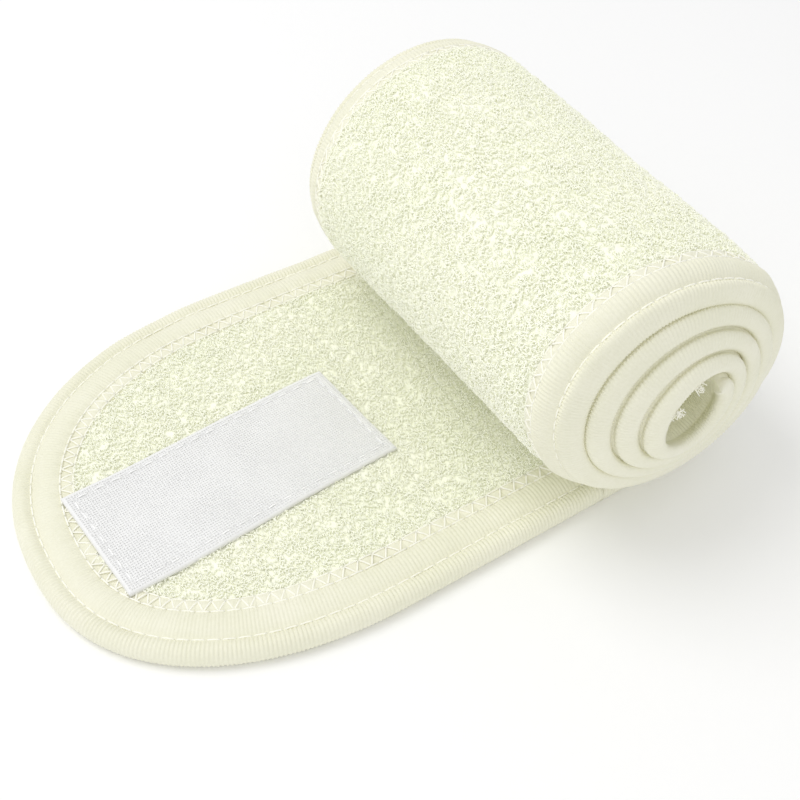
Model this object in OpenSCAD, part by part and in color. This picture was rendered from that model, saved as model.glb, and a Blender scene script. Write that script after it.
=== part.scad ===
// Wrap-round spa headband, rolled up for storage with its free end laid out flat.
// The strip is two terry layers bound together along their edges. The rolled
// part stands on the flat of its outermost turn; +Z is up, the roll's axis is
// parallel to Y, and the free end runs towards -X. The free end is divided at
// straight fold lines parallel to the roll's axis, about which it lifts and
// wraps round the roll.

/* [Strip] */
// Width of the strip over its two bound edges
strip_w = 86; // [80:1:96]
// Thickness of the two terry layers together
strip_t = 4.2; // [3.8:0.1:4.4]
// Thickness of one terry layer where it is sewn into the binding
margin_t = 1.5; // [1.2:0.1:1.6]
// Thickness over both sides of the binding
bind_t = 3.9; // [3.6:0.1:3.9]
// Width of the binding on each face
bind_w = 11; // [8:0.5:12]
// Binding beyond the cut edge of the terry
bind_lip = 0.8; // [0.4:0.1:1.5]

/* [Roll] */
// Radius of the strip's middle where it leaves the flat
roll_r = 26.5; // [26.5:0.5:32]
// Number of turns
turns = 4.4; // [3:0.1:4.4]
// Clearance between one turn and the next
turn_gap = 0.3; // [0.3:0.05:0.4]
// Degrees between the points along the spiral
spiral_step = 12; // [9,12,18]

/* [Free end] */
// Distance from under the roll's axis to the tip, along X
tip_x = 102.5; // [98:0.5:110]
// Slant of the free end away from square to the roll
skew = 5.2; // [0:0.1:8]
// Offset of the free end along Y under the roll's axis
skew_y = 7.9; // [0:0.1:8]
// Length of the rounding at the tip
tip_round = 40; // [30:1:43]
// Clearance left at each fold line
fold_gap = 0.3; // [0.2:0.05:0.6]

/* [Hook tape] */
// Length of the hook tape
hook_l = 55.5; // [40:0.5:60]
// Width of the hook tape
hook_w = 25; // [16,20,25]
// Thickness of the tape's woven ground
hook_base = 0.6; // [0.4:0.1:0.8]
// Height over the hooks
hook_h = 1.4; // [1.2:0.1:1.5]
// Bare border round the hooks
hook_border = 2.2; // [1.5:0.1:3]

/* [Loop tape] */
// Thickness of the loop tape, set into the pile
loop_t = 0.8; // [0.5:0.1:1]

/* [Hidden] */
pitch = strip_t + turn_gap;
zc = roll_r + strip_t / 2;          // height of the roll's axis
flat_end = 3;                       // the flat runs this far past the axis
thread_h = (strip_t - bind_t) / 2;  // how proud the binding's stitches stand
thread_w = 0.5;
hook_cx = -63.7;                    // middle of the hook tape
hook_cy = -1.7;
hook_turn = 8.5;                    // its angle from the X axis
fold_x = [10.5, 26.5, 42.5, 59, 75.5, 92];   // fold lines, distance from the axis
folds = len(fold_x);
loop_a0 = 1270;                     // the loop tape starts and ends at these
loop_a1 = 1565;                     // angles along the spiral

// ---- the spiral ----
// distance from the roll's axis to the strip's middle, a degrees on from the bottom
function rad(a) = roll_r - pitch * a / 360 * (1 - exp(-a / 40));
// a point on the spiral, o mm outward of the strip's middle
function at(a, o) = [(rad(a) + o) * sin(a), zc - (rad(a) + o) * cos(a)];
// the angles between a0 and a1
function steps(a0, a1) = [for (i = [0 : ceil((a1 - a0) / spiral_step)])
  min(a0 + i * spiral_step, a1)];
function rev(v) = [for (i = [len(v) - 1 : -1 : 0]) v[i]];
// outline of a band of the spiral between two offsets
function band(a0, a1, o0, o1) = let (s = steps(a0, a1))
  concat([for (a = s) at(a, o1)], [for (a = rev(s)) at(a, o0)]);
// the whole band, with the flat ahead of it from X = 0
function long_band(o0, o1) = let (s = steps(spiral_step, 360 * turns))
  concat([[0, strip_t / 2 - o1], [flat_end, strip_t / 2 - o1]], [for (a = s) at(a, o1)],
         [for (a = rev(s)) at(a, o0)], [[flat_end, strip_t / 2 - o0], [0, strip_t / 2 - o0]]);

module along_y(y0, y1) {
  translate([0, y1, 0]) rotate([90, 0, 0]) linear_extrude(height = y1 - y0) children();
}
module rolled(o0, o1, y0, y1) { along_y(y0, y1) polygon(long_band(o0, o1)); }

// ---- the free end ----
// outline of the free end, d mm inside its bound edge; the tip is a half ellipse
function tip_u(d) = tip_x / cos(skew) - tip_round + 1.2;
function outline(d) = let (w = strip_w / 2 - d, e = tip_round - d, u = tip_u(0))
  concat([[20, -w], [20, w]],
         [for (t = [0 : 5 : 180]) [-u - e * sin(t), w * cos(t)]]);
// X range of piece k of the free end: 0 is the part under the roll
function x_hi(k) = k == 0 ? 0 : -fold_x[k - 1] - fold_gap / 2;
function x_lo(k) = k == folds ? -tip_x - 20 : -fold_x[k] + fold_gap / 2;
module slab(k) { translate([x_lo(k), -100]) square([x_hi(k) - x_lo(k), 200]); }
module strip_shape(d) { translate([0, skew_y]) rotate(skew) polygon(outline(d)); }
// piece k of the free end between two heights, d mm inside the bound edge
module flap_plate(k, d, z0, z1) {
  translate([0, 0, z0]) linear_extrude(height = z1 - z0)
    intersection() { strip_shape(d); slab(k); }
}
// piece k of a ring that follows the bound edge
module flap_ring(k, d0, d1, z0, z1) {
  translate([0, 0, z0]) linear_extrude(height = z1 - z0)
    intersection() { difference() { strip_shape(d0); strip_shape(d1); } slab(k); }
}

// ---- sub-parts of the free end ----
module outer_terry_flap(k) {
  flap_plate(k, bind_w, 0, strip_t / 2);
  flap_ring(k, bind_lip, bind_w, strip_t / 2 - margin_t, strip_t / 2);
}
module inner_terry_flap(k) {
  flap_plate(k, bind_w, strip_t / 2, strip_t);
  flap_ring(k, bind_lip, bind_w, strip_t / 2, strip_t / 2 + margin_t);
}
module edge_binding_flap(k) {
  flap_ring(k, 0, bind_lip, thread_h, strip_t - thread_h);
  flap_ring(k, bind_lip, bind_w, thread_h, strip_t / 2 - margin_t);
  flap_ring(k, bind_lip, bind_w, strip_t / 2 + margin_t, strip_t - thread_h);
}
module binding_thread_flap(k) {
  for (d = [5, bind_w - 1]) {
    flap_ring(k, d, d + thread_w, 0, thread_h);
    flap_ring(k, d, d + thread_w, strip_t - thread_h, strip_t);
  }
}

// ---- sub-parts of the roll ----
module outer_terry_roll() {
  color("ivory") {
    difference() {
      rolled(0, strip_t / 2, -strip_w / 2 + bind_w, strip_w / 2 - bind_w);
      along_y(-hook_w / 2, hook_w / 2)
        polygon(band(loop_a0, loop_a1, strip_t / 2 - loop_t, strip_t / 2 + turn_gap / 2));
    }
    for (s = [-1, 1])
      rolled(0, margin_t, s > 0 ? strip_w / 2 - bind_w : -strip_w / 2 + bind_lip,
             s > 0 ? strip_w / 2 - bind_lip : -strip_w / 2 + bind_w);
    outer_terry_flap(0);
  }
}
module inner_terry_roll() {
  color("ivory") {
    rolled(-strip_t / 2, 0, -strip_w / 2 + bind_w, strip_w / 2 - bind_w);
    for (s = [-1, 1])
      rolled(-margin_t, 0, s > 0 ? strip_w / 2 - bind_w : -strip_w / 2 + bind_lip,
             s > 0 ? strip_w / 2 - bind_lip : -strip_w / 2 + bind_w);
    inner_terry_flap(0);
  }
}
module edge_binding_roll() {
  color("cornsilk") {
    for (s = [-1, 1]) {
      // over the edge
      rolled(-bind_t / 2, bind_t / 2, s > 0 ? strip_w / 2 - bind_lip : -strip_w / 2,
             s > 0 ? strip_w / 2 : -strip_w / 2 + bind_lip);
      // down each face
      for (o = [-bind_t / 2, margin_t])
        rolled(o, o + bind_t / 2 - margin_t,
               s > 0 ? strip_w / 2 - bind_w : -strip_w / 2 + bind_lip,
               s > 0 ? strip_w / 2 - bind_lip : -strip_w / 2 + bind_w);
    }
    edge_binding_flap(0);
  }
}
module binding_thread_roll() {
  color("white") {
    for (s = [-1, 1], d = [5, bind_w - 1], o = [-bind_t / 2 - thread_h, bind_t / 2])
      rolled(o, o + thread_h, s > 0 ? strip_w / 2 - d - thread_w : -strip_w / 2 + d,
             s > 0 ? strip_w / 2 - d : -strip_w / 2 + d + thread_w);
    binding_thread_flap(0);
  }
}
module loop_tape() {
  color("whitesmoke") along_y(-hook_w / 2, hook_w / 2)
    polygon(band(loop_a0, loop_a1, strip_t / 2 - loop_t, strip_t / 2));
}
module loop_tape_thread() {
  color("white") for (y = [-hook_w / 2 + 1, hook_w / 2 - 1 - thread_w])
    along_y(y, y + thread_w) polygon(band(loop_a0, loop_a1, strip_t / 2, strip_t / 2 + turn_gap / 2));
}

// ---- the hook tape, on top of the free end ----
module hook_plate(k, inset, z0, z1) {
  translate([0, 0, strip_t + z0]) linear_extrude(height = z1 - z0)
    intersection() {
      translate([hook_cx, hook_cy]) rotate(hook_turn)
        square([hook_l - 2 * inset, hook_w - 2 * inset], center = true);
      slab(k);
    }
}
module hook_tape(k) {
  hook_plate(k, 0, 0, hook_base);
  hook_plate(k, hook_border, hook_base, hook_h);
}
module hook_tape_thread(k) {
  difference() {
    hook_plate(k, 1, hook_base, hook_base + 0.25);
    hook_plate(k, 1 + thread_w, hook_base - 1, hook_base + 1);
  }
}

module terry_outer(k) { color("ivory") outer_terry_flap(k); }
module terry_inner(k) { color("lightyellow") inner_terry_flap(k); }
module binding(k) { color("cornsilk") edge_binding_flap(k); }
module binding_stitches(k) { color("white") binding_thread_flap(k); }
module hooks(k) { color("white") hook_tape(k); }
module hook_stitches(k) { color("gainsboro") hook_tape_thread(k); }

outer_terry_roll();
inner_terry_roll();
edge_binding_roll();
binding_thread_roll();
loop_tape();
loop_tape_thread();
terry_outer(1);  // outer_terry_flap_1
terry_inner(1);  // inner_terry_flap_1
binding(1);  // edge_binding_flap_1
binding_stitches(1);  // binding_thread_flap_1
terry_outer(2);  // outer_terry_flap_2
terry_inner(2);  // inner_terry_flap_2
binding(2);  // edge_binding_flap_2
binding_stitches(2);  // binding_thread_flap_2
terry_outer(3);  // outer_terry_flap_3
terry_inner(3);  // inner_terry_flap_3
binding(3);  // edge_binding_flap_3
binding_stitches(3);  // binding_thread_flap_3
terry_outer(4);  // outer_terry_flap_4
terry_inner(4);  // inner_terry_flap_4
binding(4);  // edge_binding_flap_4
binding_stitches(4);  // binding_thread_flap_4
terry_outer(5);  // outer_terry_flap_5
terry_inner(5);  // inner_terry_flap_5
binding(5);  // edge_binding_flap_5
binding_stitches(5);  // binding_thread_flap_5
terry_outer(6);  // outer_terry_flap_6
terry_inner(6);  // inner_terry_flap_6
binding(6);  // edge_binding_flap_6
binding_stitches(6);  // binding_thread_flap_6
hooks(2);  // hook_tape_2
hooks(3);  // hook_tape_3
hooks(4);  // hook_tape_4
hooks(5);  // hook_tape_5
hook_stitches(2);  // hook_tape_thread_2
hook_stitches(3);  // hook_tape_thread_3
hook_stitches(4);  // hook_tape_thread_4
hook_stitches(5);  // hook_tape_thread_5
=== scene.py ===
import math
import bpy
import numpy as np
from mathutils import Matrix


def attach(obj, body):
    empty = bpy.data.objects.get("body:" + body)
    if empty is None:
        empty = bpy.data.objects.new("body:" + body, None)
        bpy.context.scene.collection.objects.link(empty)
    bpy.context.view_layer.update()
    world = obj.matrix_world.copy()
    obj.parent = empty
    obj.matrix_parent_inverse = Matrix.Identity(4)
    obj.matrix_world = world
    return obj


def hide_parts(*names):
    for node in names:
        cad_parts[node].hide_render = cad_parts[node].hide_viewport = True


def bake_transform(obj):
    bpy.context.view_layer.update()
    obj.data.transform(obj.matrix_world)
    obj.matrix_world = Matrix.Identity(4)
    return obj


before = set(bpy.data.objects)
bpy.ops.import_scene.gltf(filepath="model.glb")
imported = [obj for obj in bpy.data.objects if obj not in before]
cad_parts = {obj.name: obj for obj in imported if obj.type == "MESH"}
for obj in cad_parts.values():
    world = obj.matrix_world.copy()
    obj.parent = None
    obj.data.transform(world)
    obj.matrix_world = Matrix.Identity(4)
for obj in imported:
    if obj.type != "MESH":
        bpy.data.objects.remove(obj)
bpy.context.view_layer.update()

MM = 0.001
scene = bpy.context.scene

# ------------------------------------------------------------------ sizes, mm
T = 4.2                    # strip, both terry layers
PITCH = 4.25               # radial growth per turn, pressed a little tighter than the cloth is thick
R0 = 26.5
ZC = R0 + T / 2
TURNS = 4.4
A_END = 360 * TURNS
SK = math.radians(5.2)     # slant of the free end
SKY = 7.9
W2 = 43.0                  # half the strip's width on the free end
TIP_X, TIP_UN, TIP_UF, TIP_B, TIP_P = 102.78, 50.0, 43.77, -5.64, 0.882
NEAR = [23.5, 32.0, 54.07, 0.97, 29.9]    # the roll's outline at its near end: half axes, tilt, centre
FAR = [27.31, 25.95, -9.43, -1.69, 27.7]
DROP_N, DROP_F = 2.3, 1.03
SHIFT_N, SHIFT_F = -0.91, -0.32
WR = 87.5                  # its width, measured over the edge's curve, on the roll
BW = 11.0                  # binding on each face
CREASE = 3.45
OUT = 0.8                  # the binding's outer face is this much as wide as its inner one
FOLD = [10.5, 26.5, 42.5, 59.0, 75.5, 92.0]
CUT = [-5.2] + [-(FOLD[i] + FOLD[i + 1]) / 2 for i in range(5)] + [-200.0]
HOOK_C = np.array([-63.7, -1.7])
HOOK_A = math.radians(8.5)
HOOK_L, HOOK_W = 55.5, 25.0


# ------------------------------------------------------------------ noise
def hash01(i, j, seed):
    h = (i.astype(np.int64) * 374761393 + j.astype(np.int64) * 668265263 + seed * 974711) & 0xFFFFFFFF
    h = ((h ^ (h >> 13)) * 1274126177) & 0xFFFFFFFF
    h = ((h ^ (h >> 16)) * 2246822519) & 0xFFFFFFFF
    return ((h ^ (h >> 15)) & 0xFFFFFF) / float(0xFFFFFF)


def noise(x, y, size, seed=0):
    """Smooth noise from -1 to 1 with features of about size."""
    x, y = np.asarray(x, float) / size, np.asarray(y, float) / size
    i, j = np.floor(x), np.floor(y)
    u, v = x - i, y - j
    u, v = u * u * u * (u * (u * 6 - 15) + 10), v * v * v * (v * (v * 6 - 15) + 10)
    a, b = hash01(i, j, seed), hash01(i + 1, j, seed)
    c, d = hash01(i, j + 1, seed), hash01(i + 1, j + 1, seed)
    return 2 * ((a * (1 - u) + b * u) * (1 - v) + (c * (1 - u) + d * u) * v) - 1


def smooth(t):
    t = np.clip(t, 0, 1)
    return t * t * (3 - 2 * t)


# ------------------------------------------------------------------ the strip on the roll
def rad(a):
    return R0 - PITCH * a / 360 * (1 - np.exp(-np.maximum(a, 0) / 40))


AA = np.linspace(0, A_END, 4001)
LL = np.concatenate([[0], np.cumsum(np.radians(np.diff(AA)) * (rad(AA[1:]) + rad(AA[:-1])) / 2)])


def a_of(length):
    return np.interp(length, LL, AA)


def l_of(a):
    return np.interp(a, AA, LL)


ROLL_LEN = float(LL[-1])


def apex_near(a):
    """Y of the strip's near edge on the roll, a degrees on from the bottom."""
    square = -40.9 - 2.6 * np.cos(np.radians(a - 250)) - 1.5 * (a - 225) / 360
    w = smooth(a / 150)
    return (SKY - W2 / math.cos(SK)) * (1 - w) + square * w


def curve_in(e):
    """How much of the distance e from the edge the edge's own curve takes up."""
    return 1.6 * (1 - np.exp(-np.maximum(e, 0) / 4.0))


def roll_point(length, e, n, far=False):
    """A point on the strip: length mm on from under the axis, e mm in from the near (or far) edge, n mm outward."""
    length, e, n = np.broadcast_arrays(np.asarray(length, float), np.asarray(e, float), np.asarray(n, float))
    lead = length < 0
    a = a_of(np.maximum(length, 0))
    wa = smooth(a / 60)
    near = apex_near(a)
    cn = curve_in(e if not far else WR - e) * wa
    if far:
        y = near + WR - 2 * curve_in(np.array(40.0)) * wa - (e - curve_in(e) * wa) + (2 * W2 / math.cos(SK) - WR) * (1 - wa)
    else:
        y = near + e - cn
    # the ends of the roll round in
    en = e if not far else WR - e
    ef = WR - e if not far else e
    outer = np.exp(-np.maximum(a - 200, 0) / 1500)
    drop = wa * (0.7 * np.clip(1 - en / 11.5, 0, 1) ** 1.6 + DROP_N * outer * np.clip(1 - en / 6.5, 0, 1) ** 1.5 + (0.8 + DROP_F * outer) * np.clip(1 - ef / 11.5, 0, 1) ** 1.6)
    r = rad(a) + n - drop
    # the inner end is rounded off
    tail = np.clip((length - (ROLL_LEN - 2.6)) / 2.6, 0, 1)
    r = np.where(tail > 0, rad(a) - drop + n * np.sqrt(np.maximum(1 - tail ** 2, 0)), r)
    ar = np.radians(a)
    x, z = r * np.sin(ar), ZC - r * np.cos(ar)
    # the roll isn't quite round: it leans and stands taller at the near end, and sags at the far one
    s = np.clip((y + 34.6) / 78.1, -0.15, 1.15)
    tn, tf = math.radians(NEAR[2]), math.radians(FAR[2])
    def mat(ea, eb, t):
        c, q = math.cos(t), math.sin(t)
        return (ea * c * c + eb * q * q) / 26.6, (ea - eb) * q * c / 26.6, (ea * q * q + eb * c * c) / 26.6
    m0, m1 = mat(NEAR[0], NEAR[1], tn), mat(FAR[0], FAR[1], tf)
    mxx, mxz, mzz = [p * (1 - s) + q * s for p, q in zip(m0, m1)]
    cx, cz = NEAR[3] * (1 - s) + FAR[3] * s, NEAR[4] * (1 - s) + FAR[4] * s
    px, pz = x - 1.15, z - 27.5
    xd, zd = cx + mxx * px + mxz * pz, cz + mxz * px + mzz * pz
    w = wa * smooth((a - 5) / 75)
    x, z = x * (1 - w) + xd * w, z * (1 - w) + zd * w
    y = y + w * (SHIFT_N * (1 - s) + SHIFT_F * s)
    # slow unevenness of the wound cloth
    z = z + w * 0.25 * noise(length, y, 23, 5)
    x = x + w * 0.25 * noise(length + 90, y, 19, 6)
    # ahead of the axis the strip lies flat
    flat_y = SKY + length * math.tan(SK)
    yl = (flat_y - W2 / math.cos(SK) + e * 1.0) if not far else (flat_y + W2 / math.cos(SK) - e)
    x = np.where(lead, length, x)
    y = np.where(lead, yl, y)
    z = np.where(lead, T / 2 - n, z)
    return np.stack([x, y, z], -1)


# ------------------------------------------------------------------ the strip on the free end
def sag(x, y):
    """Gentle rise and fall of the free end's upper face."""
    f = smooth((-x - 6) / 20)
    return f * (0.32 * noise(x, y, 26, 11) + 0.14 * noise(x, y, 9, 12))


def outline(d, step=0.25):
    """The free end's edge, d mm inside it, from the roll along the near side, round the tip and back."""
    near = np.arange(12, -TIP_UN, -step)
    far = np.arange(-TIP_UF, 12, step)
    t = np.linspace(0, math.pi / 2, int(70 / step))
    en, ef = TIP_X - TIP_UN - d, TIP_X - TIP_UF - d
    return np.concatenate([
        np.stack([near, np.full(len(near), -(W2 - d))], 1),
        np.stack([-TIP_UN - en * np.sin(t) ** TIP_P, TIP_B - (W2 + TIP_B - d) * np.cos(t) ** TIP_P], 1),
        np.stack([-TIP_UF - ef * np.cos(t[1:]) ** TIP_P, TIP_B + (W2 - TIP_B - d) * np.sin(t[1:]) ** TIP_P], 1),
        np.stack([far, np.full(len(far), W2 - d)], 1)])


def to_xy(p):
    c, s = math.cos(SK), math.sin(SK)
    return np.stack([p[..., 0] * c - p[..., 1] * s, SKY + p[..., 0] * s + p[..., 1] * c], -1)


def resample(p, step, closed=False):
    d = np.concatenate([[0], np.cumsum(np.linalg.norm(np.diff(p, axis=0), axis=1))])
    n = max(2, int(round(d[-1] / step)))
    s = np.linspace(0, d[-1], n + 1)
    return np.stack([np.interp(s, d, p[:, k]) for k in range(p.shape[1])], 1), s


def edge_path(step):
    """The free end's edge: points (X, Y), inward normals, length along it."""
    p, s = resample(to_xy(outline(0)), step)
    t = np.gradient(p, axis=0)
    t /= np.linalg.norm(t, axis=1)[:, None]
    n = np.stack([t[:, 1], -t[:, 0]], 1)
    mid = to_xy(np.array([[-50.0, 0.0]]))[0]
    if ((mid - p[len(p) // 4]) @ n[len(p) // 4]) < 0:
        n = -n
    return p, n, s


def spans(d):
    """Functions giving the free end's lowest and highest Y at an X, d mm inside its edge, and its lowest X."""
    p = to_xy(outline(d, 0.2))
    k = int(np.argmin(p[:, 0]))
    lo, hi = p[:k + 1][::-1], p[k:]
    return (lambda x: np.interp(x, lo[:, 0], lo[:, 1]), lambda x: np.interp(x, hi[:, 0], hi[:, 1]), float(p[k, 0]))


# ------------------------------------------------------------------ mesh helpers
PIECES = []


def make(name, verts, faces, mat, smooth_shade=True):
    """verts in mm, faces an (n, 4) or (n, 3) array or a list of such arrays."""
    verts = np.ascontiguousarray(verts, float) * MM
    arrays = faces if isinstance(faces, list) else [faces]
    arrays = [f for f in arrays if len(f)]
    me = bpy.data.meshes.new(name)
    loops = np.concatenate([f.reshape(-1) for f in arrays]).astype(np.int32)
    totals = np.concatenate([np.full(len(f), f.shape[1]) for f in arrays]).astype(np.int32)
    starts = np.concatenate([[0], np.cumsum(totals)[:-1]]).astype(np.int32)
    me.vertices.add(len(verts))
    me.vertices.foreach_set("co", verts.astype(np.float32).reshape(-1))
    me.loops.add(len(loops))
    me.loops.foreach_set("vertex_index", loops)
    me.polygons.add(len(totals))
    me.polygons.foreach_set("loop_start", starts)
    me.polygons.foreach_set("loop_total", totals)
    me.polygons.foreach_set("use_smooth", np.full(len(totals), smooth_shade))
    me.update(calc_edges=True)
    me.validate()
    ob = bpy.data.objects.new(name, me)
    scene.collection.objects.link(ob)
    me.materials.append(mat)
    PIECES.append((name, len(totals)))
    return ob


def grid_faces(rows, cols, wrap=False, flip=False):
    r = np.arange(rows - 1)[:, None]
    c = np.arange(cols if wrap else cols - 1)[None]
    c1 = (c + 1) % cols
    f = np.stack([r * cols + c, r * cols + c1, (r + 1) * cols + c1, (r + 1) * cols + c], -1).reshape(-1, 4)
    return f[:, ::-1] if flip else f


def slab(top, bottom):
    """A closed slab from two grids of points (rows, cols, 3)."""
    rows, cols = top.shape[:2]
    n = rows * cols
    v = np.concatenate([top.reshape(-1, 3), bottom.reshape(-1, 3)])
    ring = np.concatenate([np.arange(cols), cols * np.arange(1, rows) + cols - 1, (rows - 1) * cols + np.arange(cols - 2, -1, -1), cols * np.arange(rows - 2, 0, -1)])
    nxt = np.roll(ring, -1)
    side = np.stack([ring, ring + n, nxt + n, nxt], 1)
    return v, [np.concatenate([grid_faces(rows, cols), grid_faces(rows, cols, flip=True) + n, side])]


def compact(verts, faces):
    used, inv = np.unique(faces.reshape(-1), return_inverse=True)
    return verts[used], inv.reshape(faces.shape)


def by_section(verts, faces):
    """Splits a mesh of the free end between the middles of its stiff pieces."""
    cx = verts[faces][..., 0].mean(1)
    out = []
    for k in range(1, 7):
        f = faces[(cx <= CUT[k - 1]) & (cx > CUT[k])]
        out.append(compact(verts, f) if len(f) else None)
    return out


def tubes(paths, radius, sides=5, caps=True):
    """One mesh from many tubes. paths (count, rings, 3); radius a number or (count, rings)."""
    c, k = paths.shape[:2]
    t = np.gradient(paths, axis=1)
    t /= np.maximum(np.linalg.norm(t, axis=2), 1e-9)[..., None]
    ref = np.zeros_like(t)
    chord = paths[:, -1] - paths[:, 0]
    mid = paths[:, k // 2] - (paths[:, 0] + paths[:, -1]) / 2
    axis = np.cross(chord, mid)
    weak = np.linalg.norm(axis, axis=1) < 1e-4
    axis[weak] = np.cross(chord[weak], np.array([0.31, 0.22, 0.93]))
    axis /= np.maximum(np.linalg.norm(axis, axis=1), 1e-9)[:, None]
    ref[:] = axis[:, None]
    b = ref - (ref * t).sum(2, keepdims=True) * t
    b /= np.maximum(np.linalg.norm(b, axis=2), 1e-9)[..., None]
    g = np.cross(t, b)
    r = np.broadcast_to(np.asarray(radius, float), (c, k)) if np.ndim(radius) else np.full((c, k), float(radius))
    ph = 2 * math.pi * np.arange(sides) / sides
    v = paths[:, :, None] + r[..., None, None] * (np.cos(ph)[None, None, :, None] * b[:, :, None] + np.sin(ph)[None, None, :, None] * g[:, :, None])
    one = grid_faces(k, sides, wrap=True)
    f = (one[None] + (np.arange(c) * k * sides)[:, None, None]).reshape(-1, 4)
    out = [f]
    if caps:
        base = (np.arange(c) * k * sides)[:, None]
        out.append((base + np.arange(sides)[None, ::-1]))
        out.append((base + (k - 1) * sides + np.arange(sides)[None]))
    return v.reshape(-1, 3), out


def loop_pile(pos, nrm, rng, tall=(0.3, 0.52), wide=(0.18, 0.34), thick=(0.09, 0.14), floor=None):
    """Terry loops standing on points pos with normals nrm: bent rings of yarn, sunk at both feet."""
    c = len(pos)
    d = rng.normal(size=(c, 3))
    u = np.cross(nrm, d)
    u /= np.linalg.norm(u, axis=1)[:, None]
    s = np.cross(nrm, u)
    h = rng.uniform(*tall, c)[:, None, None]
    w = rng.uniform(*wide, c)[:, None, None]
    lean = rng.normal(0, 0.38, (c, 1, 1))
    lean2 = rng.normal(0, 0.3, (c, 1, 1))
    t = np.linspace(0.02, 0.98, 5)[None, :, None] * math.pi
    up = np.sin(t) ** 0.8
    path = (pos[:, None] + u[:, None] * (w * np.cos(t) * (0.75 + 0.5 * np.sin(t)) + lean * up * h)
            + s[:, None] * (lean2 * up * h + 0.12 * np.cos(t)) + nrm[:, None] * (h * up - 0.12))
    r = rng.uniform(*thick, c)[:, None] * np.ones((1, 5))
    if floor is not None:
        path[..., 2] = np.maximum(path[..., 2], floor + r)
    return tubes(path, r, sides=4, caps=False)


# ------------------------------------------------------------------ materials
def new_mat(name):
    m = bpy.data.materials.new(name)
    m.use_nodes = True
    nt = m.node_tree
    b = nt.nodes["Principled BSDF"]
    return m, nt, b


def ramp(nt, fac, stops):
    r = nt.nodes.new("ShaderNodeValToRGB")
    el = r.color_ramp.elements
    while len(el) < len(stops):
        el.new(0.5)
    for e, (p, c) in zip(el, stops):
        e.position = p
        e.color = (*c, 1)
    nt.links.new(fac, r.inputs[0])
    return r.outputs[0]


def noise_node(nt, scale, detail=3.0, rough=0.6, vec=None):
    n = nt.nodes.new("ShaderNodeTexNoise")
    n.inputs["Scale"].default_value = scale
    n.inputs["Detail"].default_value = detail
    n.inputs["Roughness"].default_value = rough
    nt.links.new(vec, n.inputs["Vector"])
    return n.outputs["Fac"]


def coords(nt):
    return nt.nodes.new("ShaderNodeTexCoord").outputs["Object"]


def mix_mul(nt, a, b, fac):
    m = nt.nodes.new("ShaderNodeMix")
    m.data_type = "RGBA"
    m.blend_type = "MULTIPLY"
    m.inputs["Factor"].default_value = fac
    nt.links.new(a, m.inputs[6])
    nt.links.new(b, m.inputs[7])
    return m.outputs[2]


def bump(nt, b, height, strength, distance):
    k = nt.nodes.new("ShaderNodeBump")
    k.inputs["Strength"].default_value = strength
    k.inputs["Distance"].default_value = distance
    nt.links.new(height, k.inputs["Height"])
    nt.links.new(k.outputs[0], b.inputs["Normal"])


def terry_mat():
    m, nt, b = new_mat("terry")
    v = coords(nt)
    big = ramp(nt, noise_node(nt, 60, 3, 0.55, v), [(0.3, (0.958, 0.968, 0.848)), (0.72, (0.978, 0.980, 0.880))])
    fine = ramp(nt, noise_node(nt, 1300, 2, 0.6, v), [(0.3, (0.975, 0.975, 0.94)), (0.62, (1, 1, 1))])
    nt.links.new(mix_mul(nt, big, fine, 1.0), b.inputs["Base Color"])
    b.inputs["Roughness"].default_value = 0.85
    b.inputs["Specular IOR Level"].default_value = 0.3
    b.inputs["Sheen Weight"].default_value = 0.3
    b.inputs["Sheen Roughness"].default_value = 0.5
    # stands for light scattered many times between the fibres
    b.inputs["Emission Color"].default_value = (0.92, 0.95, 0.66, 1)
    b.inputs["Emission Strength"].default_value = 0.07
    bump(nt, b, noise_node(nt, 2600, 2, 0.7, v), 0.35, 0.00003)
    return m


def binding_mat():
    m, nt, b = new_mat("binding")
    v = coords(nt)
    big = ramp(nt, noise_node(nt, 90, 3, 0.5, v), [(0.3, (0.805, 0.800, 0.655)), (0.7, (0.840, 0.830, 0.700))])
    fine = ramp(nt, noise_node(nt, 1800, 2, 0.6, v), [(0.3, (0.965, 0.965, 0.945)), (0.65, (1, 1, 1))])
    nt.links.new(mix_mul(nt, big, fine, 1.0), b.inputs["Base Color"])
    b.inputs["Roughness"].default_value = 0.55
    b.inputs["Specular IOR Level"].default_value = 0.4
    b.inputs["Sheen Weight"].default_value = 0.3
    b.inputs["Sheen Roughness"].default_value = 0.35
    # painted glow: a weak warm emission that stands for light scattered many times between the fibres
    b.inputs["Emission Color"].default_value = (0.95, 0.88, 0.50, 1)
    b.inputs["Emission Strength"].default_value = 0.045
    bump(nt, b, noise_node(nt, 3200, 2, 0.7, v), 0.35, 0.00003)
    return m


def thread_mat(name, colour):
    m, nt, b = new_mat(name)
    v = coords(nt)
    c = ramp(nt, noise_node(nt, 900, 2, 0.5, v), [(0.3, tuple(0.94 * x for x in colour)), (0.7, colour)])
    nt.links.new(c, b.inputs["Base Color"])
    b.inputs["Roughness"].default_value = 0.42
    b.inputs["Sheen Weight"].default_value = 0.2
    # painted glow: a weak emission in the thread's own colour that stands for light scattered between the fibres
    b.inputs["Emission Color"].default_value = (*colour, 1)
    b.inputs["Emission Strength"].default_value = 0.08
    bump(nt, b, noise_node(nt, 5000, 1, 0.5, v), 0.25, 0.00001)
    return m


def hook_mat():
    m, nt, b = new_mat("hook_tape")
    v = coords(nt)
    c = ramp(nt, noise_node(nt, 1500, 3, 0.65, v), [(0.32, (0.865, 0.865, 0.865)), (0.62, (0.895, 0.895, 0.892))])
    nt.links.new(c, b.inputs["Base Color"])
    b.inputs["Roughness"].default_value = 0.5
    b.inputs["Specular IOR Level"].default_value = 0.45
    bump(nt, b, noise_node(nt, 4200, 2, 0.6, v), 0.35, 0.00002)
    return m


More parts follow.
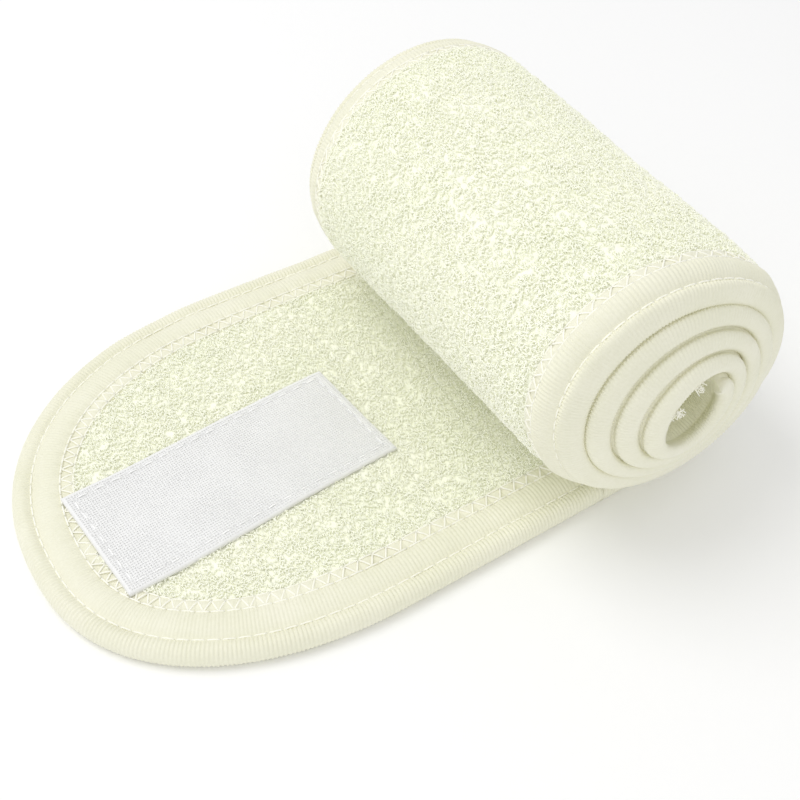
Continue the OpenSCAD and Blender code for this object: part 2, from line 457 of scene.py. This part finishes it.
TERRY, BIND = terry_mat(), binding_mat()
THREAD = thread_mat("binding_thread", (0.945, 0.935, 0.835))
TAPE_THREAD = thread_mat("tape_thread", (0.985, 0.985, 0.98))
HOOK = hook_mat()
LOOP = thread_mat("loop_tape", (0.90, 0.90, 0.88))


# ------------------------------------------------------------------ pieces on the roll's body, and free-end pieces baked in place
def ride_roll(ob, slot, *nodes):
    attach(ob, "roll")
    if nodes:
        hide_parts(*nodes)
    return ob


def bend(ob, k, slot, *nodes):
    """Bakes the world transform of piece k of the free end into its mesh and hides the CAD nodes given."""
    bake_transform(ob)
    if nodes:
        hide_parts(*nodes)
    return ob


# ================================================================== terry, free end
inner_span = spans(BW - 0.9)
outer_span = spans(BW * OUT - 0.9)
COLS = 116


def flap_grid(k, span):
    """Rows across the free end for piece k of a terry panel: X, Y, distance in from the panel's border, area, flat size."""
    lo_f, hi_f, xmin = span
    x0, x1 = CUT[k - 1], max(CUT[k], xmin + 0.03)
    xs = np.linspace(x0, x1, max(4, int(round((x0 - x1) / 0.55))) + 1)
    lo, hi = lo_f(xs), hi_f(xs)
    t = np.linspace(0, 1, COLS)
    X = np.broadcast_to(xs[:, None], (len(xs), COLS))
    Y = lo[:, None] + (hi - lo)[:, None] * t[None]
    inside = np.minimum(np.minimum(Y - lo[:, None], hi[:, None] - Y), np.maximum(X - xmin, 0) * 1.5)
    area = float(np.sum((hi - lo)[:-1] * -np.diff(xs))) * 1e-6
    size = (float((hi - lo).max()) * MM, max(float(xs[0] - xs[-1]) * MM, 0.0101))
    return xs, X, Y, inside, min(area, size[0] * size[1]), size


def terry_height(x, y, edge):
    """Upper terry face of the free end; edge is the distance inside the terry's border."""
    lumps = 0.13 * noise(x, y, 1.1, 21) + 0.10 * noise(x, y, 2.3, 22) + 0.08 * noise(x, y, 0.6, 23)
    return T - 0.62 + lumps - 0.55 * (1 - smooth(edge / 1.6))


def lower_height(x, y, inside):
    return 0.42 + 0.1 * noise(x, y, 1.3, 31) + 0.55 * (1 - smooth(inside / 1.6))


for k in range(1, 7):
    for side, span in (("inner", inner_span), ("outer", outer_span)):
        xs, X, Y, edge, area, size = flap_grid(k, span)
        wave = sag(X, Y)
        mid = T / 2 + 0.4 * wave
        if side == "inner":
            upper, lower = terry_height(X, Y, edge) + wave, mid + 0.02
        else:
            upper, lower = mid - 0.02, lower_height(X, Y, edge)
        v, f = slab(np.stack([X, Y, upper], -1), np.stack([X, Y, lower], -1))
        o = make("%s_terry_flap_%d_cloth" % (side, k), v, [a[:, ::-1] for a in f], TERRY)
        bend(o, k, "terry", "%s_terry_flap_%d" % (side, k))
        # pile
        rng = np.random.default_rng(100 + 10 * k + (side == "outer"))
        lo_f, hi_f, xmin = span
        dens = 4.3 if side == "inner" else 1.5
        w = float(Y.max() - Y.min())
        n = int((xs[0] - xs[-1]) * w * dens)
        px = rng.uniform(xs[-1], xs[0], n)
        py = rng.uniform(float(Y.min()), float(Y.max()), n)
        inside = np.minimum(np.minimum(py - lo_f(px), hi_f(px) - py), np.maximum(px - xmin, 0) * 1.5)
        keep = inside > 0.25
        if side == "inner":
            c, s = math.cos(HOOK_A), math.sin(HOOK_A)
            hx = (px - HOOK_C[0]) * c + (py - HOOK_C[1]) * s
            hy = -(px - HOOK_C[0]) * s + (py - HOOK_C[1]) * c
            keep &= ~((np.abs(hx) < HOOK_L / 2 - 0.1) & (np.abs(hy) < HOOK_W / 2 - 0.1))
        px, py, inside = px[keep], py[keep], inside[keep]
        if side == "inner":
            pz = terry_height(px, py, inside) + sag(px, py) + 0.2
            v, f = loop_pile(np.stack([px, py, pz], 1), np.tile([0, 0, 1.0], (len(px), 1)), rng)
        else:
            pz = lower_height(px, py, inside)
            v, f = loop_pile(np.stack([px, py, pz], 1), np.tile([0, 0, -1.0], (len(px), 1)), rng, tall=(0.3, 0.5), floor=0.0)
        bend(make("%s_terry_pile_flap_%d" % (side, k), v, f, TERRY), k, "terry")

# ================================================================== terry, roll
lead = np.arange(CUT[0], -0.2, 0.5)
lens = np.concatenate([lead, np.arange(0, 175, 0.5), np.arange(175, ROLL_LEN - 2.7, 1.5), np.linspace(ROLL_LEN - 2.6, ROLL_LEN, 8)])


def roll_lumps(length, e, seed):
    return 0.13 * noise(length, e, 1.1, seed) + 0.10 * noise(length, e, 2.3, seed + 1) + 0.06 * noise(length, e, 0.6, seed + 2)


E_OUT, E_IN = BW * OUT - 0.9, BW - 0.9
for side, e0 in (("outer", E_OUT), ("inner", E_IN)):
    L, E = np.meshgrid(lens, np.linspace(e0, WR - e0, 86), indexing="ij")
    edge = np.minimum(E - e0, WR - e0 - E)
    visible = 1 - smooth((L - 165) / 10)
    if side == "outer":
        n = (T / 2 - 0.35) + roll_lumps(L, E, 41) * (0.45 + 0.55 * visible) - 0.5 * (1 - smooth(edge / 1.6)) + 0.12 * visible
        n = np.where(L < 3, np.minimum(n, T / 2 - 0.3), n)
        v, f = slab(roll_point(L, E, n), roll_point(L, E, 0.02))
    else:
        n = -(T / 2 - 0.35) - 0.5 * roll_lumps(L, E, 51) + 0.5 * (1 - smooth(edge / 1.6))
        v, f = slab(roll_point(L, E, -0.02), roll_point(L, E, n))
    o = make("%s_terry_roll_cloth" % side, v, f, TERRY)
    ride_roll(o, "terry", "%s_terry_roll" % side)


def normals_at(length, e, sign=1.0):
    d = 0.2
    p = roll_point(length, e, 1.7)
    du = roll_point(length + d, e, 1.7) - p
    dv = roll_point(length, e + d, 1.7) - p
    n = np.cross(du, dv)
    n /= np.linalg.norm(n, axis=1)[:, None]
    out = roll_point(length, e, 2.7) - p
    n *= np.sign((n * out).sum(1))[:, None]
    return sign * n


rng = np.random.default_rng(9)
for i, (l0, l1) in enumerate(zip(np.linspace(1.0, 164.0, 10)[:-1], np.linspace(1.0, 164.0, 10)[1:])):
    c = int((l1 - l0) * (WR - 2 * E_OUT) * 4.2)
    pl, pe = rng.uniform(l0, l1, c), rng.uniform(E_OUT + 0.25, WR - E_OUT - 0.25, c)
    ed = np.minimum(pe - E_OUT, WR - E_OUT - pe)
    vis = 1 - smooth((pl - 165) / 10)
    n = (T / 2 - 0.35) + roll_lumps(pl, pe, 41) - 0.5 * (1 - smooth(ed / 1.6)) + 0.12 * vis + 0.22
    pos = roll_point(pl, pe, n)
    v, f = loop_pile(pos, normals_at(pl, pe), rng, floor=0.0)
    ride_roll(make("outer_terry_pile_roll_%d" % (i + 1), v, f, TERRY), "terry")
# pile on the inner face where the open middle shows it, and between the turns near each end
c = 3600
pl = rng.uniform(ROLL_LEN - 78, ROLL_LEN - 3, c)
pe = np.where(rng.random(c) < 0.65, rng.uniform(E_IN + 0.3, E_IN + 24, c), rng.uniform(WR - E_IN - 16, WR - E_IN - 0.3, c))
v, f = loop_pile(roll_point(pl, pe, -(T / 2 - 0.4)), normals_at(pl, pe, -1.0), rng, tall=(0.45, 0.75))
ride_roll(make("inner_terry_pile_core", v, f, TERRY), "terry")

# ================================================================== binding profile
# distance in from the edge and height over the strip's middle, from one face round the edge to the other
HALF = np.array([
    [11.35, 1.15], [11.1, 1.50], [10.85, 1.80], [10.5, 1.95], [10.0, 1.98], [9.4, 1.90], [8.9, 1.86], [8.6, 1.98],
    [8.2, 2.14], [7.6, 2.28], [6.9, 2.36], [6.1, 2.34], [5.3, 2.24], [4.6, 2.06], [4.05, 1.82], [3.7, 1.58],
    [3.45, 1.50], [3.2, 1.62], [2.85, 1.86], [2.4, 2.04], [1.9, 2.10], [1.4, 2.02], [0.95, 1.80], [0.6, 1.46],
    [0.3, 1.02], [0.12, 0.6], [0.02, 0.2]])


def profile(outer_gain=1.0, inner_gain=1.0, band=0.9):
    a = HALF.copy()
    b = HALF[::-1].copy()
    a[:, 0] *= OUT
    a[:, 1] *= outer_gain
    b[:, 1] *= -inner_gain
    p = np.concatenate([a, b])
    wide = np.where(p[:, 1] > 0, p[:, 0] / OUT, p[:, 0])
    rib = np.interp(wide, [0, 0.3, 0.9, 3.1, 3.4, 3.6, 4.2, 8.0, 8.6, 9.2, 11.4], [0.35, 0.6, 1, 1, 0.15, 0.15, band, band, 0.3, 0.25, 0.1])
    t = np.gradient(p, axis=0)
    t /= np.linalg.norm(t, axis=1)[:, None]
    nrm = np.stack([t[:, 1], -t[:, 0]], 1)
    side = np.sign(p[:, 1])
    flip = (nrm[:, 1] * side) < 0
    nrm[flip] *= -1
    return p, rib, nrm


RIB = 0.74


def ribs(length, e, seed):
    """Rib height, mm, length mm along the edge."""
    ph = length + 0.10 * noise(length, e, 6, seed) + 0.03 * e
    depth = 0.135 * (0.75 + 0.25 * noise(length, e, 4, seed + 1))
    return depth * np.sin(2 * math.pi * ph / RIB) + 0.035 * noise(length, e, 0.5, seed + 2)


def puff(length, e, seed):
    """Slow swelling of the binding between its two seams, pulled in at each stitch."""
    scallop = np.abs(np.sin(math.pi * length / 3.1))
    return (0.16 * noise(length, e, 5.0, seed) * smooth((e - 0.8) / 2)
            - 0.26 * (1 - scallop) * np.exp(-((e - 10.2) / 1.0) ** 2)
            - 0.20 * (1 - scallop) * np.exp(-((e - 8.5) / 0.9) ** 2))


# ------------------------------------------------------------------ binding, free end
STEP = 0.125
pth, nin, s_edge = edge_path(STEP)
prof, ribw, pn = profile(1.0, 1.0, 0.45)


def flap_edge_point(i_path, e, n):
    """A point on the free end's edge: path point, distance in, n outward (down)."""
    xy = pth[i_path] + nin[i_path] * e[..., None]
    return xy, n


E2, S2 = np.broadcast_arrays(prof[None, :, 0], s_edge[:, None])
N2 = np.broadcast_to(prof[None, :, 1], E2.shape)
amp = (ribs(S2, E2, 61) * ribw[None]) + puff(S2, E2, 65) * np.abs(N2 / 2.0).clip(0, 1)
e_d = E2 + pn[None, :, 0] * amp
n_d = N2 + pn[None, :, 1] * amp
xy = pth[:, None] + nin[:, None] * e_d[..., None]
z = T / 2 - n_d
lower = n_d > 0
z = np.where(lower, np.maximum(z, 0.02), z)
z = z + sag(xy[..., 0], xy[..., 1]) * np.clip((z - 0.6) / 3.0, 0, 1)
verts = np.concatenate([xy, z[..., None]], -1).reshape(-1, 3)
faces = grid_faces(len(s_edge), len(prof))
for k, part in enumerate(by_section(verts, faces), 1):
    o = make("edge_binding_flap_%d_tape" % k, part[0], part[1], BIND)
    bend(o, k, "binding", "edge_binding_flap_%d" % k)

# ------------------------------------------------------------------ binding, roll
prof_r, ribw_r, pn_r = profile(1.0, 0.9)


def roll_binding(name, far, ls):
    e, s = np.broadcast_arrays(prof_r[None, :, 0], ls[:, None])
    n = np.broadcast_to(prof_r[None, :, 1], e.shape)
    amp = ribs(s, e, 71 + 9 * far) * ribw_r[None] + puff(s, e, 75) * np.abs(n / 2.0).clip(0, 1) * (1 - smooth((s - 165) / 8) * 0.7)
    ed = np.maximum(e + pn_r[None, :, 0] * amp, 0.0)
    nd = (n + pn_r[None, :, 1] * amp) * (1 - 0.12 * smooth((s - 150) / 20))
    nd = np.where(nd < 0, nd * (1 + (1 / 0.9 - 1) * (1 - smooth(s / 12))), nd)
    # the outermost face stands a little prouder than the ones pressed between turns
    nd = nd + np.where(n > 0, 0.22, 0.0) * (1 - smooth((s - 150) / 20)) * smooth(s / 15) * smooth(e / 1.5)
    v = roll_point(s, ed, nd, far=far)
    v[..., 2] = np.maximum(v[..., 2], 0.02)
    return make(name, v.reshape(-1, 3), grid_faces(len(ls), e.shape[1], flip=far), BIND)


outer_ls = np.append(np.arange(CUT[0], 171.9, STEP), 172.0)
for name, far, fine in (("near", False, 0.165), ("far", True, 0.25)):
    inner_ls = np.concatenate([np.arange(172.0, ROLL_LEN - 2.6, fine), np.linspace(ROLL_LEN - 2.6, ROLL_LEN, 12)])
    o = roll_binding("edge_binding_roll_%s_outside" % name, far, outer_ls)
    if far:
        ride_roll(o, "binding")
    else:
        ride_roll(o, "binding", "edge_binding_roll")
    ride_roll(roll_binding("edge_binding_roll_%s_inside" % name, far, inner_ls), "binding")


# ------------------------------------------------------------------ binding stitches
def arc_stitches(p0, p1, up, rise, rings=6):
    """Stitches between points p0 and p1 (count, 3), bowed by rise along up."""
    t = np.linspace(0, 1, rings)[None, :, None]
    return p0[:, None] * (1 - t) + p1[:, None] * t + up[:, None] * (rise * np.sin(math.pi * t) - 0.1)


def flap_surface(s, e, face, lift):
    """Point over the binding of the free end at length s and distance e; face -1 is up."""
    x = np.interp(s, s_edge, pth[:, 0]) + np.interp(s, s_edge, nin[:, 0]) * e
    y = np.interp(s, s_edge, pth[:, 1]) + np.interp(s, s_edge, nin[:, 1]) * e
    n = np.interp(e if face < 0 else e / OUT, HALF[::-1, 0], HALF[::-1, 1])
    z = T / 2 + (n + lift) if face < 0 else np.maximum(T / 2 - (n + lift), 0.2)
    if face < 0:
        z = z + sag(x, y)
    return np.stack([x, y, z + 0 * x], -1)


def stitch_rows(surface, length, rng, down):
    """Cover stitch (two needle rows joined by a zigzag) and the row in the crease, as tubes."""
    ups = np.array([0, 0, -1.0 if down else 1.0])
    out = []
    # zigzag between the needle rows
    per = 3.1
    k = np.arange(int(length / per))
    a = k * per + rng.normal(0, 0.05, len(k))
    for s0, e0, s1, e1, rise in ((a, 10.75, a + per * 0.46, 8.75, 0.14), (a + per * 0.5, 8.75, a + per * 0.96, 10.75, 0.14),
                                 (a + 0.1, 10.9, a + per - 0.15, 10.9, 0.12), (a + 0.25, 8.6, a + per - 0.1, 8.6, 0.12)):
        p0, p1 = surface(s0, np.full(len(k), e0), 0.06), surface(s1, np.full(len(k), e1), 0.06)
        out.append(("arc", p0, p1, rise))
    # crease
    per = 2.7
    k = np.arange(int(length / per))
    a = k * per
    p0, p1 = surface(a + 0.12, np.full(len(k), CREASE), 0.12), surface(a + per - 0.3, np.full(len(k), CREASE), 0.12)
    out.append(("arc", p0, p1, 0.14))
    return out, ups


edge_len = float(s_edge[-1])
for face, down in ((-1, False), (1, True)):
    rng = np.random.default_rng(55 + face)
    rows, ups = stitch_rows(lambda s, e, lift: flap_surface(np.asarray(s), np.asarray(e) * (OUT if down else 1), face, lift if not down else lift - 0.1), edge_len, rng, down)
    paths = []
    for _, p0, p1, rise in rows:
        paths.append(arc_stitches(p0, p1, np.tile(ups, (len(p0), 1)), rise if not down else 0.06))
    paths = np.concatenate(paths)
    if down:
        paths[..., 2] = np.maximum(paths[..., 2], 0.14)
    cx = paths[..., 0].mean(1)
    for k in range(1, 7):
        sel = (cx <= CUT[k - 1]) & (cx > CUT[k])
        v, f = tubes(paths[sel], 0.17, sides=6)
        o = make("binding_thread_%s_flap_%d" % ("lower" if down else "upper", k), v, f, THREAD)
        if down:
            bend(o, k, "binding_thread")
        else:
            bend(o, k, "binding_thread", "binding_thread_flap_%d" % k)

for far in (False, True):
    rng = np.random.default_rng(66 + far)

    def on_roll(s, e, lift, far=far):
        s, e = np.asarray(s, float), np.asarray(e, float) * OUT
        n = np.interp(e / OUT, HALF[::-1, 0], HALF[::-1, 1]) + lift + 0.22 * smooth(s / 15) * (1 - smooth((s - 150) / 20))
        return roll_point(s, e, n, far=far)

    rows, _ = stitch_rows(lambda s, e, lift: on_roll(np.minimum(s, 168), e, lift), 166, rng, False)
    paths = []
    for _, p0, p1, rise in rows:
        m = (p0 + p1) / 2
        c = np.array([1.0, 0, 28.0])
        up = m - c
        up[:, 1] = 0
        up /= np.linalg.norm(up, axis=1)[:, None]
        paths.append(arc_stitches(p0, p1, up, rise))
    paths = np.concatenate(paths)
    paths[..., 2] = np.maximum(paths[..., 2], 0.15)
    v, f = tubes(paths, 0.16, sides=6)
    o = make("binding_thread_roll_%s" % ("far" if far else "near"), v, f, THREAD)
    if far:
        ride_roll(o, "binding_thread")
    else:
        ride_roll(o, "binding_thread", "binding_thread_roll")

# ================================================================== hook tape
def tape_xy(u, w):
    c, s = math.cos(HOOK_A), math.sin(HOOK_A)
    # the sewn tape's long edges aren't quite straight
    w = w + 0.25 * np.sin(u / 9.0) * (np.abs(w) / 12.5)
    return HOOK_C[0] + u * c - w * s, HOOK_C[1] + u * s + w * c


nu, nw = 250, 112
us, ws = np.linspace(-HOOK_L / 2, HOOK_L / 2, nu + 1), np.linspace(-HOOK_W / 2, HOOK_W / 2, nw + 1)
U, Wd = np.meshgrid(us, ws, indexing="ij")
X, Y = tape_xy(U, Wd)
inset = np.minimum(HOOK_L / 2 - np.abs(U), HOOK_W / 2 - np.abs(Wd))
inset_w = HOOK_W / 2 - np.abs(Wd)
TAPE_Z = T + 0.42
ground = 0.32 * smooth(inset / 0.3) - 0.05 * np.exp(-inset / 0.5) + 0.02 * noise(U, Wd, 0.45, 81) + 0.04 * noise(U, Wd, 5, 82)
ground -= 0.1 * np.exp(-((inset - 1.7) / 0.45) ** 2)
top = TAPE_Z + ground + sag(X, Y)
bottom = T - 0.35 + sag(X, Y)
v, f = slab(np.stack([X, Y, top], -1), np.stack([X, Y, bottom], -1))
f = f[0][:, ::-1]
f = f if True else f
for k, part in enumerate(by_section(v, f), 1):
    if part is None:
        continue
    o = make("hook_tape_ground_%d" % k, part[0], part[1], HOOK)
    names = ["hook_tape_%d" % k] if 2 <= k <= 5 else []
    bend(o, k, "hook_tape", *names)

# hooks: small bent hairs of nylon in staggered rows
rng = np.random.default_rng(3)
hu, hw = np.meshgrid(np.arange(-HOOK_L / 2 + 0.6, HOOK_L / 2 - 0.5, 0.5), np.arange(-HOOK_W / 2 + 0.6, HOOK_W / 2 - 0.5, 0.5), indexing="ij")
hu = hu + 0.25 * (np.arange(hu.shape[1]) % 2)[None]
hu, hw = hu.ravel() + rng.normal(0, 0.03, hu.size), hw.ravel() + rng.normal(0, 0.03, hu.size)
keep = np.abs(hu) < HOOK_L / 2 - 0.5
hu, hw = hu[keep], hw[keep]
turn = np.where(np.round(hw / 0.5).astype(int) % 2 == 0, 1.0, -1.0) * rng.uniform(0.9, 1.1, len(hu))
side = rng.normal(0, 0.06, len(hu))
prof_h = np.array([[0, 0], [0.01, 0.14], [0.05, 0.24], [0.13, 0.28], [0.2, 0.23], [0.21, 0.16]])
pu = hu[:, None] + turn[:, None] * prof_h[None, :, 0]
pw = hw[:, None] + (side[:, None] * prof_h[None, :, 0])
px, py = tape_xy(pu, pw)
pz = TAPE_Z + 0.2 + prof_h[None, :, 1] + sag(px, py)
paths = np.stack([px, py, pz], -1)
cx = paths[..., 0].mean(1)
for k in range(1, 7):
    sel = (cx <= CUT[k - 1]) & (cx > CUT[k])
    if sel.sum() == 0:
        continue
    v, f = tubes(paths[sel], 0.065, sides=4, caps=False)
    o = make("hook_tape_hooks_%d" % k, v, f, HOOK)
    bend(o, k, "hook_tape")

# the row of stitches round the tape
rng = np.random.default_rng(4)
ins = 1.7
rows = []
for (u0, w0), (u1, w1) in (((-HOOK_L / 2 + ins, -HOOK_W / 2 + ins), (HOOK_L / 2 - ins, -HOOK_W / 2 + ins)),
                           ((HOOK_L / 2 - ins, -HOOK_W / 2 + ins), (HOOK_L / 2 - ins, HOOK_W / 2 - ins)),
                           ((HOOK_L / 2 - ins, HOOK_W / 2 - ins), (-HOOK_L / 2 + ins, HOOK_W / 2 - ins)),
                           ((-HOOK_L / 2 + ins, HOOK_W / 2 - ins), (-HOOK_L / 2 + ins, -HOOK_W / 2 + ins))):
    ln = math.hypot(u1 - u0, w1 - w0)
    n = int(round(ln / 3.2))
    t = np.arange(n) / n
    g = 0.14 / n
    a = np.stack([u0 + (u1 - u0) * (t + g), w0 + (w1 - w0) * (t + g)], 1)
    b = np.stack([u0 + (u1 - u0) * (t + 0.8 / n), w0 + (w1 - w0) * (t + 0.8 / n)], 1)
    rows.append((a, b))
a = np.concatenate([r[0] for r in rows])
b = np.concatenate([r[1] for r in rows])
b += rng.normal(0, 0.06, b.shape)
ax, ay = tape_xy(a[:, 0], a[:, 1])
bx, by = tape_xy(b[:, 0], b[:, 1])
z0 = TAPE_Z + 0.24
p0 = np.stack([ax, ay, z0 + sag(ax, ay)], 1)
p1 = np.stack([bx, by, z0 + sag(bx, by)], 1)
paths = arc_stitches(p0, p1, np.tile([0, 0, 1.0], (len(p0), 1)), 0.24)
cx = paths[..., 0].mean(1)
for k in range(1, 7):
    sel = (cx <= CUT[k - 1]) & (cx > CUT[k])
    if sel.sum() == 0:
        continue
    v, f = tubes(paths[sel], 0.15, sides=6)
    o = make("hook_tape_stitches_%d" % k, v, f, TAPE_THREAD)
    names = ["hook_tape_thread_%d" % k] if 2 <= k <= 5 else []
    bend(o, k, "tape_thread", *names)

# ================================================================== loop tape, on the hidden end's outer face
l0, l1 = float(l_of(1270)), float(l_of(1565))
ls, eb = np.linspace(l0, l1, 150), np.linspace(WR / 2 - 12.5, WR / 2 + 12.5, 70)
L3, E3 = np.meshgrid(ls, eb, indexing="ij")
v, f = slab(roll_point(L3, E3, T / 2 - 0.02 + 0.03 * noise(L3, E3, 0.7, 91)), roll_point(L3, E3, T / 2 - 0.75))
ride_roll(make("loop_tape_nap", v, f, LOOP), "loop_tape", "loop_tape")
paths = []
for e in (WR / 2 - 11.3, WR / 2 + 11.3):
    a = np.arange(l0 + 1, l1 - 3.5, 3.2)
    p0, p1 = roll_point(a, np.full(len(a), e), T / 2), roll_point(a + 2.5, np.full(len(a), e), T / 2)
    up = (p0 + p1) / 2 - np.array([0, 0, ZC])
    up[:, 1] = 0
    up /= np.linalg.norm(up, axis=1)[:, None]
    paths.append(arc_stitches(p0, p1, up, 0.12))
v, f = tubes(np.concatenate(paths), 0.1, sides=6)
ride_roll(make("loop_tape_stitches", v, f, TAPE_THREAD), "tape_thread", "loop_tape_thread")

# ================================================================== frayed thread ends on the innermost turn's edge
rng = np.random.default_rng(12)
paths = []
for a_deg, count in ((1272.0, 22), (1310.0, 26)):
    lc = float(l_of(a_deg))
    base = roll_point(np.array([lc]), np.array([0.35]), np.array([-1.15]))[0]
    for _ in range(count):
        b0 = base + rng.normal(0, 0.28, 3) * [1, 0.4, 1]
        d = rng.normal(0, 1, 3) + [0.5, -0.8, -0.5]
        d /= np.linalg.norm(d)
        q = rng.normal(0, 1, 3)
        q -= q @ d * d
        q /= np.linalg.norm(q)
        ln = rng.uniform(0.6, 1.3)
        t = np.linspace(0, 1, 7)[:, None]
        paths.append(b0 + d * ln * t + q * 0.35 * np.sin(t * rng.uniform(2.5, 4.5)) * rng.choice([-1, 1]))
v, f = tubes(np.array(paths), 0.075, sides=4)
ride_roll(make("frayed_ends", v, f, THREAD), "binding_thread")


# ================================================================== stage, light, camera
def area_light(name, loc, target, size, energy, colour=(1, 1, 1)):
    d = bpy.data.lights.new(name, "AREA")
    d.shape = "DISK"
    d.size = size
    d.energy = energy
    d.color = colour
    o = bpy.data.objects.new(name, d)
    scene.collection.objects.link(o)
    f = (Matrix.Translation(loc).translation - Matrix.Translation(target).translation).normalized()
    o.rotation_mode = "QUATERNION"
    o.rotation_quaternion = f.to_track_quat("Z", "Y")
    o.location = loc
    return o


fv = np.array([[-3, -3, 0], [3, -3, 0], [3, 3, 0], [-3, 3, 0]]) * 1000.0
m, nt, b = new_mat("floor")
b.inputs["Base Color"].default_value = (0.98, 0.98, 0.98, 1)
b.inputs["Roughness"].default_value = 0.9
b.inputs["Specular IOR Level"].default_value = 0.1
floor = make("floor", fv, np.array([[0, 1, 2, 3]]), m, False)
floor.location.z = -0.00002

w = bpy.data.worlds.new("studio")
scene.world = w
w.use_nodes = True
bg = w.node_tree.nodes["Background"]
bg.inputs[0].default_value = (1.0, 1.0, 1.0, 1)
bg.inputs[1].default_value = 0.74
area_light("key", (-0.30, 0.18, 0.62), (0, 0, 0.02), 0.45, 1.55)
area_light("fill", (-0.35, -0.55, 0.45), (0, 0, 0.02), 0.6, 0.5)
scene.view_settings.view_transform = "Standard"
scene.view_settings.look = "None"
scene.view_settings.exposure = 0.0
scene.view_settings.gamma = 1.0

cam = bpy.data.cameras.new("camera")
cam.sensor_width = 36.0
cam.lens = 53.2364
cam.clip_start = 0.01
cam.clip_end = 20
co = bpy.data.objects.new("camera", cam)
scene.collection.objects.link(co)
C = (-0.1105577, -0.1348036, 0.1687185)
R = ((0.8733096, -0.4855565, 0.0395632), (0.3255198, 0.6420310, 0.6941420), (-0.3624461, -0.5933221, 0.7187501))
co.matrix_world = Matrix(((R[0][0], R[1][0], R[2][0], C[0]), (R[0][1], R[1][1], R[2][1], C[1]), (R[0][2], R[1][2], R[2][2], C[2]), (0, 0, 0, 1)))
scene.camera = co

print("faces", sum(n for _, n in PIECES), max(PIECES, key=lambda p: p[1]))
